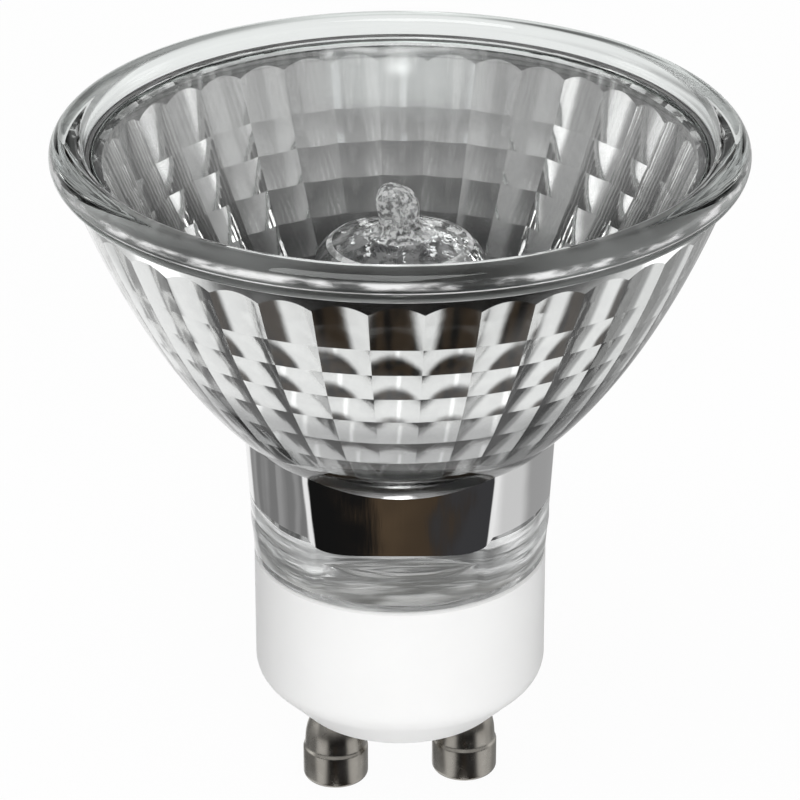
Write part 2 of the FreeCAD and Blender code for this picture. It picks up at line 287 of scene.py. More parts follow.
def facet_rings(angles, folds):
    """The coated inside, from the bowl's floor up to the arches and the plain band under the cover."""
    half_turn = math.pi / facet_columns
    offset = (angles + facet_turn) % (2 * half_turn) - half_turn
    chord = math.cos(half_turn) / np.cos(offset)
    inset = chord - 2 * facet_crown_across * math.sin(half_turn) * (1 - (offset / half_turn) ** 2)
    pitch = (bowl_depth - facet_top_row - facet_floor) / (facet_rows - 1)
    levels = []
    for row in range(facet_rows):
        radius, height = inner_ring(facet_floor + row * pitch)
        levels.append((radius - facet_insets.get(row, 0), height))
    levels.append(inner_ring(bowl_depth))
    rings = []
    for row in range(facet_rows - 1):
        (low_radius, low_z), (high_radius, high_z) = levels[row], levels[row + 1]
        length = math.hypot(high_radius - low_radius, high_z - low_z)
        for step in range(steps_up):
            share = step / steps_up
            bulge = facet_crown_up * length * (1 - (2 * share - 1) ** 2)
            height = low_z + (high_z - low_z) * share
            radius = low_radius + (high_radius - low_radius) * share
            if row < plain_rows:
                fade = max(row + share + 1 - plain_rows, 0)
                rings.append(Ring(radius * (1 + (inset - 1) * fade), height, MIRROR))
            else:
                rings.append(Ring(radius * inset - bulge, height, MIRROR, step == 0, folds))
    (low_radius, low_z), (high_radius, high_z) = levels[-2], levels[-1]
    arch_radius = band_radius / inset
    arch_z = low_z + (arch_radius - low_radius) / (high_radius - low_radius) * (high_z - low_z)
    arch_steps = 2 * steps_up
    for step in range(arch_steps + 1):
        share = step / arch_steps
        radius = (low_radius + (arch_radius - low_radius) * share) * inset
        height = low_z + (arch_z - low_z) * share
        rings.append(Ring(radius, height, MIRROR, step in (0, arch_steps), folds))
    rings.append(Ring(band_radius, (arch_z + cover_seat) / 2, MIRROR))
    rings.append(Ring(band_radius, cover_seat, MIRROR, crease=True))
    return rings


def rim_rings():
    """The rebate for the cover glass, its rounded lip and the rolled bead of the rim."""
    rings = [Ring(rebate_radius, cover_seat, crease=True), Ring(rebate_radius, cover_high.z, REBATE)]
    lip = (rebate_radius + rebate_round, rim_face - rebate_round)
    rings += rounded((rebate_radius, lip[1]), lip, (lip[0], rim_face), rebate_steps)
    middle = rim_face - rim_bead
    bead = (bowl_edge, middle)
    rings += rounded((bowl_edge, rim_face), bead, (rim_radius, middle), bead_steps, BEAD)
    rings += rounded((rim_radius, middle), bead, (bowl_edge, rim_foot), bead_steps, BEAD)[1:-1]
    return rings


def outside_rings(angles):
    """The clear outside of the bowl from the rim down, and the silvered neck to its film's arched foot."""
    joint = neck_joint(angles)
    rings = []
    for share in np.linspace(1, 0, bowl_steps):
        height = joint + (rim_foot - joint) * share ** bowl_crowding
        radius = bowl_radius(height - bowl_vertex) if share < 1 else bowl_edge
        rings.append(Ring(radius, height, CLEAR, crease=share in (0, 1)))
    across = neck_flat / np.abs(np.tan(angles + neck_turn + 1e-9)) / film_half_width
    edge = film_foot + film_rise * np.minimum(across, 1) ** film_corner_power
    for share in np.linspace(1, 0, neck_steps)[1:]:
        height = edge + (joint - edge) * share
        rings.append(Ring(neck_outline(angles, height), height, NECK_FILM))
    foot = collar_top + collar_round
    rings.append(Ring(neck_outline(angles, foot), foot))
    return rings


def collar_rings(angles):
    """The ledge at the foot of the neck, the round collar and the spigot, down to the mouth of the slot."""
    neck = neck_outline(angles, collar_top + collar_round)
    collar = np.maximum(collar_radius, neck)
    room = np.minimum(collar_round, collar_ledge_share * (collar - neck))
    rings = []
    quarter = [math.pi / 2 * step / 5 for step in range(6)]
    for turn in quarter[1:]:
        height = collar_top + collar_round * (1 - math.sin(turn))
        rings.append(Ring(neck + room * (1 - math.cos(turn)), height))
    for turn in quarter:
        drop = collar_round * (1 - math.cos(turn))
        rings.append(Ring(collar - room * (1 - math.sin(turn)), collar_top - drop))
    middle = (collar_top + collar_foot) / 2
    rings.append(Ring(np.maximum(collar_radius, neck_outline(angles, middle)), middle))
    foot = collar_foot + joint_film
    arris = (collar_radius - collar_arris, foot + collar_arris)
    rings += rounded((collar_radius, arris[1]), arris, (arris[0], foot), 3)
    rings.append(Ring(spigot_radius - joint_film, foot, crease=True))
    rings.append(Ring(spigot_radius - joint_film, spigot_end, crease=True))
    return rings


class Value:
    """A shader socket that does arithmetic: each operator adds a Math node to the socket's own tree."""

    def __init__(self, socket):
        self.socket = socket

    def combine(self, operation, first, second):
        node = self.socket.id_data.nodes.new("ShaderNodeMath")
        node.operation = operation
        feed(node.inputs[0], first)
        feed(node.inputs[1], second)
        return Value(node.outputs[0])

    def __add__(self, other):
        return self.combine("ADD", self, other)

    def __radd__(self, other):
        return self.combine("ADD", other, self)

    def __sub__(self, other):
        return self.combine("SUBTRACT", self, other)

    def __rsub__(self, other):
        return self.combine("SUBTRACT", other, self)

    def __mul__(self, other):
        return self.combine("MULTIPLY", self, other)

    def __rmul__(self, other):
        return self.combine("MULTIPLY", other, self)


def feed(place, value):
    """Links a socket, or sets its own value."""
    if isinstance(value, Value):
        place.id_data.links.new(value.socket, place)
    elif hasattr(value, "__len__") and len(value) == 3 and len(place.default_value) == 4:
        place.default_value = (*value, 1)
    else:
        place.default_value = value


class Nodes:
    """The node tree of one finish."""

    def __init__(self, tree):
        self.tree = tree
        tree.nodes.clear()

    def add(self, kind, settings, sockets, output=None):
        """Any node, from its type, its settings and what its sockets take, by name or by number."""
        node = self.tree.nodes.new(kind)
        for key, setting in settings.items():
            setattr(node, key, setting)
        for key, value in sockets.items():
            named = [place for place in node.inputs if place.name == key and place.enabled]
            feed(named[0] if named else node.inputs[key], value)
        found = [place for place in node.outputs if place.enabled and output in (place.name, None)]
        return Value(found[0]) if found else node

    def place(self):
        """Where a point of the piece is, in metres, in the frame of the whole lamp."""
        return self.add("ShaderNodeTexCoord", {}, {}, "Object")

    def along(self, axis):
        """How far a point of the piece is along one axis of the lamp."""
        return self.add("ShaderNodeSeparateXYZ", {}, {"Vector": self.place()}, axis)

    def noise(self, scale, detail=2, stretch=(1, 1, 1)):
        """Even noise of about this many grains in a metre, with the count of each axis times its stretch."""
        grain = self.add("ShaderNodeMapping", {}, {"Vector": self.place(), "Scale": stretch})
        return self.add("ShaderNodeTexNoise", {}, {"Vector": grain, "Scale": scale, "Detail": detail})

    def smooth(self, value, low, high):
        """Zero below low, one above high and an even blend between."""
        sockets = {"Value": value, "From Min": low, "From Max": high}
        return self.add("ShaderNodeMapRange", {"interpolation_type": "SMOOTHSTEP"}, sockets, "Result")

    def within(self, value, low, high, soft):
        """One between two values and zero outside them, with soft ends."""
        below_high = 1 - self.smooth(value, high - soft, high + soft)
        return self.smooth(value, low - soft, low + soft) * below_high

    def between(self, share, low, high):
        """A colour between two colours."""
        sockets = {"Factor": share, "A": low, "B": high}
        return self.add("ShaderNodeMix", {"data_type": "RGBA"}, sockets, "Result")

    def bump(self, height, strength, depth):
        sockets = {"Height": height, "Strength": strength, "Distance": depth}
        return self.add("ShaderNodeBump", {}, sockets)

    def surface(self, shader):
        self.add("ShaderNodeOutputMaterial", {}, {"Surface": shader})


def new_finish(name):
    material = bpy.data.materials.new(name)
    material.use_nodes = True
    return material, Nodes(material.node_tree)


def grey(level):
    return (level, level, level)


def clear_glass(name, tint, index, shine, wave_scale, wave_depth):
    """Polished glass with a faint unevenness left by its mould."""
    material, nodes = new_finish(name)
    wave = nodes.noise(wave_scale)
    pale = tuple(min(1, 1.03 * part) for part in tint)
    shader = nodes.add("ShaderNodeBsdfPrincipled", {}, {
        "Base Color": nodes.between(wave, tint, pale),
        "Roughness": 0.0,
        "IOR": index,
        "Specular IOR Level": shine,
        "Transmission Weight": 1.0,
        "Normal": nodes.bump(wave, 0.3, wave_depth),
    })
    nodes.surface(shader)
    return material


def mirror_coat(name, mark_strength, wave_depth, foot):
    """Aluminium film on pressed glass: mottled, with drawn marks and soft waves, and duller at its foot."""
    material, nodes = new_finish(name)
    thick = nodes.smooth(nodes.along("Z"), bowl_vertex + 12.2 * MM, bowl_vertex + 15 * MM)
    mottle = nodes.noise(900, 3)
    marks = nodes.noise(2500, 2, (1, 1, 0.12))
    waves = nodes.bump(nodes.noise(170, 1), 1.0, wave_depth)
    relief = {"Height": marks, "Strength": mark_strength, "Distance": 0.02 * MM, "Normal": waves}
    bright = nodes.between(mottle, grey(0.8), (0.93, 0.93, 0.92))
    shader = nodes.add("ShaderNodeBsdfPrincipled", {}, {
        "Base Color": nodes.between(thick, grey(foot), bright),
        "Metallic": 1.0,
        "Roughness": 0.03 + 0.06 * mottle,
        "Normal": nodes.add("ShaderNodeBump", {}, relief),
    })
    nodes.surface(shader)
    return material


def crinkled_coat(name):
    """The dull edge of the coat in the collar, crinkled in sideways lines, with a painted glow along the
    lines where they would catch the light.
    """
    material, nodes = new_finish(name)
    streaks = nodes.noise(900, 3, (0.16, 0.16, 1.2))
    streaks_with_painted_glow = nodes.smooth(streaks, 0.45, 0.65)
    shader = nodes.add("ShaderNodeBsdfPrincipled", {}, {
        "Base Color": nodes.between(streaks_with_painted_glow, grey(0.7), grey(0.97)),
        "Metallic": 1.0,
        "Roughness": 0.25 + 0.25 * streaks,
        # The emission is a painted glow along the streaks: painted light, not a lamp.
        "Emission Color": nodes.between(streaks_with_painted_glow, grey(0.07), grey(0.36)),
        "Emission Strength": 1.0,
        "Normal": nodes.bump(streaks, 1.0, 0.35 * MM),
    })
    nodes.surface(shader)
    return material


def rebate_coat(name):
    """The overspray of the coat in the rebate, painted dark at the front as shade and bright round the sides
    and the back as light.
    """
    material, nodes = new_finish(name)
    streaks = nodes.noise(800, 2, (0.05, 0.05, 1.2))
    # Painted shade and light by place: dark streaks at the front, pale grey at the sides and back.
    front = nodes.between(streaks, grey(0.15), grey(0.45))
    painted_light_at_back = nodes.smooth(nodes.along("Y"), -17 * MM, -7 * MM)
    shader = nodes.add("ShaderNodeBsdfPrincipled", {}, {
        "Base Color": nodes.between(painted_light_at_back, front, grey(0.9)),
        "Metallic": 1.0,
        "Roughness": 0.2 + 0.3 * streaks,
        "Normal": nodes.bump(streaks, 1.0, 0.04 * MM),
    })
    nodes.surface(shader)
    return material


def beaded_glass(name):
    """The rolled bead: clear, with painted pale lines and streaks that stand in for light trapped inside it.
    """
    material, nodes = new_finish(name)
    z = nodes.along("Z")
    streaks = nodes.smooth(nodes.noise(1500, 4, (0.2, 0.2, 1)), 0.38, 0.62)
    band = nodes.within(z, rim_face - 1.05 * MM, rim_face - 0.6 * MM, 0.12 * MM)
    line = nodes.within(z, rim_face - 1.34 * MM, rim_face - 1.26 * MM, 0.04 * MM)
    foot = nodes.within(z, rim_foot - 0.1 * MM, rim_foot + 0.25 * MM, 0.08 * MM)
    # Painted reflection: the pale shader is mixed in along bands where light trapped in the bead would show.
    painted_trapped_light = 0.75 * streaks * band + 0.8 * line + 0.6 * foot
    clear = nodes.add("ShaderNodeBsdfGlass", {}, {
        "Color": (0.93, 0.95, 0.94),
        "Roughness": 0.0,
        "IOR": 1.5,
    })
    pale = nodes.add("ShaderNodeBsdfPrincipled", {}, {
        "Base Color": nodes.between(streaks, grey(0.5), grey(0.9)),
        "Roughness": 0.25,
    })
    nodes.surface(nodes.add("ShaderNodeMixShader", {}, {0: painted_trapped_light, 1: clear, 2: pale}))
    return material


turns = facet_columns * steps_across
facet_angles = np.arange(turns) * 2 * math.pi / turns - facet_turn
column_edges = np.arange(turns) % steps_across == 0
reflector = Turning(facet_angles)
reflector.skin(
    slot_rings(facet_angles) + facet_rings(facet_angles, column_edges) + rim_rings()
    + outside_rings(facet_angles) + collar_rings(facet_angles),
    closed=True,
    inward=True,
)
reflector = reflector.build("reflector_glass", [
    clear_glass("pressed_glass", (0.95, 0.965, 0.96), 1.5, 0.25, 260, 0.05 * MM),
    mirror_coat("mirror_coat", 0.08, 0.02 * MM, 0.45),
    mirror_coat("silvered_neck", 0.07, 0.12 * MM, 0.84),
    crinkled_coat("crinkled_coat"),
    rebate_coat("rebate_coat"),
    beaded_glass("beaded_glass"),
])
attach(reflector, "root")
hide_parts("reflector")


# Filament: tungsten wire wound into a coil, bent once over a hook so that both ends come down to the pinch.
# It is crimped to the lead-in wires and glows when the lamp is lit; here it is cold and grey.
coil_low, coil_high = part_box("filament")
coil_radius = coil_high.y
coil_spread = coil_high.x - coil_radius
coil_wire = 0.075 * MM
coil_pitch = 0.24 * MM
coil_leg = coil_high.z - coil_radius - coil_spread - coil_low.z
wire_sides = 6
steps_per_turn = 14


def coil_line(distance):
    """Point and direction of the coil's middle line at a distance along it."""
    bend = math.pi * coil_spread
    if distance < coil_leg:
        return np.array([-coil_spread, 0, coil_low.z + distance]), np.array([0, 0, 1.0])
    if distance < coil_leg + bend:
        turn = math.pi - (distance - coil_leg) / coil_spread
        middle = np.array([0, 0, coil_low.z + coil_leg])
        point = middle + coil_spread * np.array([math.cos(turn), 0, math.sin(turn)])
        return point, np.array([math.sin(turn), 0, -math.cos(turn)])
    rest = distance - coil_leg - bend
    return np.array([coil_spread, 0, coil_low.z + coil_leg - rest]), np.array([0, 0, -1.0])


def swept_wire(name, line, radius, sides, material):
    """A round wire along a line of points, closed at both ends."""
    line = np.array(line)
    tangents = np.gradient(line, axis=0)
    tangents /= np.linalg.norm(tangents, axis=1)[:, None]
    points = []
    faces = []
    aside = (0.3, 1, 0.2)
    normal = np.cross(tangents[0], aside)
    for number, (point, tangent) in enumerate(zip(line, tangents)):
        normal = normal - tangent * np.dot(normal, tangent)
        normal /= np.linalg.norm(normal)
        other = np.cross(tangent, normal)
        for side in range(sides):
            turn = 2 * math.pi * side / sides
            points.append(tuple(point + radius * (math.cos(turn) * normal + math.sin(turn) * other)))
        if number:
            base = (number - 1) * sides
            for side in range(sides):
                after = (side + 1) % sides
                faces.append((base + side, base + after, base + sides + after, base + sides + side))
    faces.append(tuple(reversed(range(sides))))
    faces.append(tuple(range(len(points) - sides, len(points))))
    mesh = bpy.data.meshes.new(name)
    mesh.from_pydata(points, [], faces)
    mesh.materials.append(material)
    mesh.polygons.foreach_set("use_smooth", np.ones(len(mesh.polygons), dtype=bool))
    mesh.update()
    return placed(name, mesh)


def drawn_metal(name, dark, bright, least_rough, most_rough, grain):
    """Metal drawn or rolled to size, with fine lines along it and uneven tarnish."""
    material, nodes = new_finish(name)
    tarnish = nodes.noise(grain, 3)
    lines = nodes.noise(6 * grain, 2, (1, 1, 0.1))
    shader = nodes.add("ShaderNodeBsdfPrincipled", {}, {
        "Base Color": nodes.between(tarnish, dark, bright),
        "Metallic": 1.0,
        "Roughness": least_rough + (most_rough - least_rough) * lines,
        "Normal": nodes.bump(lines, 0.1, 0.01 * MM),
    })
    nodes.surface(shader)
    return material


coil_length = 2 * coil_leg + math.pi * coil_spread
coil_steps = int(coil_length / coil_pitch * steps_per_turn)
coil_reach = coil_radius - coil_wire
coil_side = np.array([0, 1.0, 0])
coil_points = []
for step in range(coil_steps + 1):
    point, along = coil_line(coil_length * step / coil_steps)
    turn = 2 * math.pi * step / steps_per_turn
    across = np.cross(along, coil_side)
    coil_points.append(point + coil_reach * (math.cos(turn) * across + math.sin(turn) * coil_side))
filament = swept_wire(
    "filament_coil", coil_points, coil_wire, wire_sides,
    drawn_metal("tungsten", (0.16, 0.16, 0.17), (0.34, 0.34, 0.35), 0.3, 0.5, 3000),
)
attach(filament, "root")
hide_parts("filament")


# Wires and foils of the burner: molybdenum lead-ins, the coil's hook and the foils sealed in the pinch.
# They are drawn or rolled metal, spot-welded to each other.
def finish_nodes(names, material):
    """Gives pieces that keep their CAD shape a finish of their own."""
    for name in names:
        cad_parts[name].data.materials.clear()
        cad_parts[name].data.materials.append(material)


molybdenum = drawn_metal("molybdenum", (0.34, 0.34, 0.36), (0.55, 0.55, 0.57), 0.25, 0.45, 2000)
finish_nodes(("filament_support", "lead_in_left", "lead_in_right", "foil_left", "foil_right"), molybdenum)


# Burner: a quartz tube, pinched flat round its foils at the foot and drawn in to a dome at the top.
# The melted-off stub of its exhaust tube stands on the dome, crooked as the flame left it.
# The flame also left a white ring on the dome and a haze inside it; both have a painted glow.
burner_low, burner_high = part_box("capsule_envelope")
burner_radius = burner_high.x
burner_wall = 1.0 * MM
burner_foot = inner_ring(facet_floor)[1] + 0.4 * MM
burner_floor = burner_foot + 2.0 * MM
burner_floor_round = 1.2 * MM
burner_sides = 128
pinch_half_width = 5.75 * MM
pinch_half_thick = 1.8 * MM
pinch_round = 0.8 * MM
pinch_arris = 0.2 * MM
pinch_end_share = 0.96
pinch_first_step = 1 * MM
flare_height = 1.6 * MM
flare_steps = 8
tube_steps = 8

# Across and up, the stub's profile is in shares of its radius and height, and the bore's in millimetres.
stub_height = 3.9 * MM
stub_radius = 1.55 * MM
stub_profile = (
    (1.25, 0.02), (1.1, 0.06), (1.0, 0.14), (0.95, 0.28), (0.98, 0.42),
    (1.02, 0.56), (1.0, 0.68), (0.9, 0.8), (0.7, 0.9), (0.4, 0.97),
)
stub_lean = 0.35 * MM
stub_lump = 0.05
stub_slope = 0.16
stub_slope_start = 0.45
bore_mouth = 1.3 * MM
bore_profile = ((0.95, 0.2), (0.75, 0.6), (0.55, 1.2), (0.4, 2.0), (0.2, 2.8))
bore_end = 3.1 * MM

burner_top = burner_high.z - stub_height
dome_height = 2.8 * MM
dome_power = 2.5
dome_wall = 0.8 * MM
dome_inner = 1.4 * stub_radius
dome_ring = 4.85 * MM
dome_ring_width = 0.4 * MM
dome_steps = 24
QUARTZ, WORKED_AND_GLOWING, MELTED, HAZY = range(4)


def dome_rings(radius, top, inner):
    """A flattened dome on a tube, from the tube in to a smaller radius."""
    rings = []
    for step in range(dome_steps + 1):
        turn = math.pi / 2 * step / dome_steps
        across = radius * math.cos(turn) ** (2 / dome_power)
        if across > inner:
            rise = dome_height * (math.sin(turn) ** (2 / dome_power) - 1)
            rings.append(Ring(across, top + rise))
    return rings


def burner_outside(angles):
    """The flat pinch, flaring out to the tube, and the drawn-in dome with its ring and stub."""
    pinch = rounded_box(angles, pinch_half_width, pinch_half_thick, pinch_round)
    rings = [
        Ring(0, burner_low.z),
        Ring(pinch * pinch_end_share, burner_low.z),
        Ring(pinch, burner_low.z + pinch_arris),
    ]
    for height in np.linspace(burner_low.z + pinch_first_step, burner_foot, tube_steps):
        rings.append(Ring(pinch, height))
    for step in range(1, flare_steps + 1):
        share = step / flare_steps
        ease = math.sin(share * math.pi / 2)
        rings.append(Ring(pinch + (burner_radius - pinch) * ease, burner_foot + flare_height * share))
    for height in np.linspace(burner_foot + flare_height, burner_top - dome_height, tube_steps)[1:-1]:
        rings.append(Ring(burner_radius, height))
    for dome in dome_rings(burner_radius, burner_top, dome_inner):
        # The ring's painted glow stands in for a bright ring of light round the dome's shoulder.
        is_worked = dome_ring < dome.radius < dome_ring + dome_ring_width
        rings.append(Ring(dome.radius, dome.height, WORKED_AND_GLOWING if is_worked else QUARTZ))
    for wide, tall in stub_profile:
        rings.append(Ring(stub_radius * wide, burner_top + stub_height * tall, MELTED))
    rings.append(Ring(0, burner_high.z, MELTED))
    return rings


def burner_inside():
    """The gas space, with the thread of a hole that runs up into the stub."""
    radius = burner_radius - burner_wall
    roof = burner_top - dome_wall
    corner = (radius - burner_floor_round, burner_floor + burner_floor_round)
    rings = [Ring(0, burner_floor), Ring(corner[0], burner_floor)]
    rings += rounded((corner[0], burner_floor), corner, (radius, corner[1]), 5)[1:]
    for dome in dome_rings(radius, roof, bore_mouth):
        rings.append(Ring(dome.radius, dome.height, HAZY))
    for wide, rise in bore_profile:
        rings.append(Ring(wide * MM, roof + rise * MM))
    rings.append(Ring(0, roof + bore_end))
    return rings[::-1]


def bend_stub(points):
    """Makes the stub lumpy, leans it to the left and slopes its tip."""
    draw = random.Random(7)
    # The first draw of each wave isn't used: it keeps the later ones as they are.
    wave_ranges = ((0.6, 1.6), (0, 6.28), (0.4, 1.2), (0, 6.28))
    waves = [[draw.uniform(low, high) for low, high in wave_ranges] for _ in range(6)]
    for point in points:
        height = (point[2] - burner_top) / (burner_high.z - burner_top)
        if height <= 0:
            continue
        turn = math.atan2(point[1], point[0])
        lump = 0
        for number, (_, turn_shift, rise_rate, rise_shift) in enumerate(waves):
            around = math.sin((number % 3 + 1) * turn + turn_shift)
            lump += around * math.sin(6 * rise_rate * height + rise_shift)
        swell = 1 + stub_lump * lump * min(1, 3 * height)
        point[0] = point[0] * swell - stub_lean * height
        point[1] = point[1] * swell
        tilt = 1 - stub_slope * max(height - stub_slope_start, 0) * (1 + point[0] / stub_radius)
        point[2] = min(burner_top + (point[2] - burner_top) * tilt, burner_high.z)


def worked_quartz_with_painted_glow(name, grain, least, most):
    """Quartz that a flame has softened, with a white deposit in patches that has a painted glow, standing in
    for light trapped in it.
    """
    material, nodes = new_finish(name)
    patches = nodes.smooth(nodes.noise(grain, 4), 0.4, 0.6)
    ripple = nodes.bump(nodes.noise(900, 2), 0.5, 0.1 * MM)
    clear = nodes.add("ShaderNodeBsdfGlass", {}, {
        "Color": (0.97, 0.975, 0.975),
        "Roughness": 0.02,
        "IOR": 1.46,
        "Normal": ripple,
    })
    # The emission is a painted glow, not a lamp.
    bloom_with_painted_glow = nodes.add("ShaderNodeBsdfPrincipled", {}, {
        "Base Color": nodes.between(patches, grey(0.7), grey(0.95)),
        "Roughness": 0.3,
        "Emission Color": nodes.between(patches, grey(0.05), grey(0.4)),
        "Emission Strength": 1.0,
        "Normal": ripple,
    })
    share = least + (most - least) * patches
    nodes.surface(nodes.add("ShaderNodeMixShader", {}, {0: share, 1: clear, 2: bloom_with_painted_glow}))
    return material


burner_angles = np.arange(burner_sides) * 2 * math.pi / burner_sides
burner = Turning(burner_angles)
burner.skin(burner_outside(burner_angles))
burner.skin(burner_inside())
bend_stub(burner.points)
burner = burner.build("burner_quartz", [
    clear_glass("quartz", (0.97, 0.975, 0.975), 1.46, 0.5, 200, 0.012 * MM),
    worked_quartz_with_painted_glow("worked_quartz_with_painted_glow", 1200, 0.7, 1.0),
    worked_quartz_with_painted_glow("melted_quartz", 2600, 0.05, 0.8),
    worked_quartz_with_painted_glow("hazy_quartz", 700, 0.02, 0.3),
])
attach(burner, "root")
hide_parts("capsule_envelope")


# Cement: the plug that holds the pinch in the neck and the ring that bonds the spigot into the cap.
# It is a grey-white lamp cement, poured wet and fired matt.
def fired_cement():
    material, nodes = new_finish("lamp_cement")
    lumps = nodes.noise(700, 4)
    grit = nodes.noise(5000, 2)
    shader = nodes.add("ShaderNodeBsdfPrincipled", {}, {
        "Base Color": nodes.between(lumps, (0.68, 0.66, 0.6), (0.86, 0.84, 0.8)),
        "Roughness": 0.75 + 0.2 * grit,
        "Normal": nodes.bump(lumps + 0.3 * grit, 0.5, 0.1 * MM),
    })
    nodes.surface(shader)
    return material


finish_nodes(("capsule_cement", "base_cement"), fired_cement())


# Cover glass: a disc of sheet glass that keeps the burner's splinters in if it bursts.
# Its edge is ground round, and it lies in the rim's rebate.
cover_radius = cover_high.x - joint_film
cover_bottom = cover_low.z + joint_film
cover_top = cover_high.z
cover_arris = 0.25 * MM
cover_middle = 0.6 * cover_radius
cover_sides = 256
FACE, GROUND_EDGE = range(2)


def cover_rings():
    """Two flat faces and a ground edge, with a narrow rounded arris at each."""
    flat_radius = cover_radius - cover_arris
    low_arris = (flat_radius, cover_bottom + cover_arris)
    high_arris = (flat_radius, cover_top - cover_arris)
    low_round = rounded((flat_radius, cover_bottom), low_arris, (cover_radius, low_arris[1]), 4, GROUND_EDGE)
    high_round = rounded((cover_radius, high_arris[1]), high_arris, (flat_radius, cover_top), 4, GROUND_EDGE)
    return [
        Ring(0, cover_bottom),
        Ring(cover_middle, cover_bottom),
        Ring(flat_radius, cover_bottom, FACE, crease=True),
        *low_round[1:],
        *high_round[:-1],
        Ring(flat_radius, cover_top, GROUND_EDGE, crease=True),
        Ring(cover_middle, cover_top),
        Ring(0, cover_top),
    ]


cover_angles = np.arange(cover_sides) * 2 * math.pi / cover_sides
cover = Turning(cover_angles)
cover.skin(cover_rings())
cover = cover.build("cover_disc", [
    clear_glass("cover_glass", (0.97, 0.985, 0.98), 1.5, 0.5, 60, 0.02 * MM),
    clear_glass("cover_glass_edge", (0.84, 0.95, 0.9), 1.5, 0.5, 900, 0.05 * MM),
])
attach(cover, "root")
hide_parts("front_glass")


# Sealant: a thin ring of clear silicone between the cover glass and the wall of the rebate.
# It is run in by hand, so that its top edge wanders, and it holds the cover once it has set.
sealant_inner = cover_high.x + joint_film
sealant_outer = rebate_radius - joint_film
sealant_foot = cover_seat + joint_film
sealant_top = cover_high.z - 0.12 * MM
sealant_wander = 0.1 * MM
sealant_waves = ((5, 0.4), (11, 2.1), (23, 4.0), (37, 1.2))
sealant_hollow = 0.05 * MM
sealant_inner_drop = 0.02 * MM


def clear_silicone():
    material, nodes = new_finish("clear_silicone")
    cloud = nodes.smooth(nodes.noise(160, 3, (1, 1, 6)), 0.42, 0.6)
    upper = nodes.smooth(nodes.along("Z"), cover_low.z, (cover_low.z + cover_high.z) / 2)
    shader = nodes.add("ShaderNodeBsdfPrincipled", {}, {
        "Base Color": nodes.between(cloud * (1 - upper), grey(0.2), grey(0.9)),
        "Roughness": 0.15 + 0.25 * cloud,
        "IOR": 1.41,
        "Transmission Weight": 0.2,
        "Normal": nodes.bump(cloud, 0.4, 0.08 * MM),
    })
    nodes.surface(shader)
    return material


def silicone_rings(angles):
    waves = sum(np.sin(rate * angles + shift) for rate, shift in sealant_waves)
    top = sealant_top + sealant_wander * (waves / len(sealant_waves))
    return [
        Ring(sealant_inner, sealant_foot, crease=True),
        Ring(sealant_outer, sealant_foot, crease=True),
        Ring(sealant_outer, top, crease=True),
        Ring((sealant_inner + sealant_outer) / 2, top - sealant_hollow),
        Ring(sealant_inner, top - sealant_inner_drop, crease=True),
    ]


sealant = Turning(cover_angles)
sealant.skin(silicone_rings(cover_angles), closed=True)
sealant = sealant.build("cover_sealant", [clear_silicone()])
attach(sealant, "root")
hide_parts("front_sealant")


# Leads: nickel wires from the foils to the pins, the right-hand one ending in a thin fuse link.
# They run through the hollow of the cap and are crimped into the pins.
nickel_wire = drawn_metal("nickel_wire", (0.42, 0.4, 0.37), (0.66, 0.64, 0.6), 0.25, 0.45, 2500)
finish_nodes(("outer_lead_left", "outer_lead_right", "fuse_wire"), nickel_wire)


# Contact pins: turned brass, nickel-plated, with a head that locks behind the contacts of the holder.
# Each head tapers into its stem, and the shank is riveted over inside the cap.
pin_head_round = 0.5 * MM
pin_head_flat = 0.5
pin_stem_radius = 1.75 * MM
pin_stem_start = 5.9 * MM
pin_shank_radius = 1.5 * MM
pin_bore_radius = 0.55 * MM
pin_floor = 2.2 * MM
pin_rivet_radius = 2.4 * MM
pin_rivet_arris = 0.2 * MM
pin_sides = 72
cap_floor = cap_low.z + 4.5 * MM

# How far in from the head and how far up from the tip the taper runs, in millimetres.
pin_taper = (
    (0, 2.62), (0.03, 2.74), (0.1, 2.84), (0.14, 3.0), (0.16, 3.4),
    (0.2, 3.9), (0.32, 4.5), (0.52, 5.1), (0.7, 5.6),
)


def nickel_plate():
    """Polished plating over turned metal: fine rings from the tool, and uneven tarnish."""
    material, nodes = new_finish("nickel_plate")
    tool = nodes.noise(5000, 2, (0.05, 0.05, 1))
    tarnish = nodes.noise(700, 4)
    shader = nodes.add("ShaderNodeBsdfPrincipled", {}, {
        "Base Color": nodes.between(tarnish, (0.28, 0.26, 0.23), (0.5, 0.48, 0.44)),
        "Metallic": 1.0,
        "Roughness": 0.18 + 0.16 * tarnish,
        "Normal": nodes.bump(tool, 0.12, 0.02 * MM),
    })
    nodes.surface(shader)
    return material


def pin_rings(low, high, head_radius):
    """The head, its taper, the stem under the cap, the shank through it, and the rivet with its bore."""
    arris = (head_radius - pin_head_round, low + pin_head_round)
    rings = [Ring(0, low), Ring(head_radius * pin_head_flat, low)]
    rings += rounded((arris[0], low), arris, (head_radius, arris[1]), 8)
    for inset, height in pin_taper:
        rings.append(Ring(head_radius - inset * MM, low + height * MM))
    rings += [
        Ring(pin_stem_radius, low + pin_stem_start),
        Ring(pin_stem_radius, cap_low.z - joint_film, crease=True),
        Ring(pin_shank_radius, cap_low.z - joint_film, crease=True),
        Ring(pin_shank_radius, cap_floor, crease=True),
        Ring(pin_rivet_radius, cap_floor, crease=True),
        Ring(pin_rivet_radius, high - pin_rivet_arris),
        Ring(pin_rivet_radius - pin_rivet_arris, high),
        Ring(pin_bore_radius, high, crease=True),
        Ring(pin_bore_radius, pin_floor, crease=True),
        Ring(0, pin_floor),
    ]
    return rings


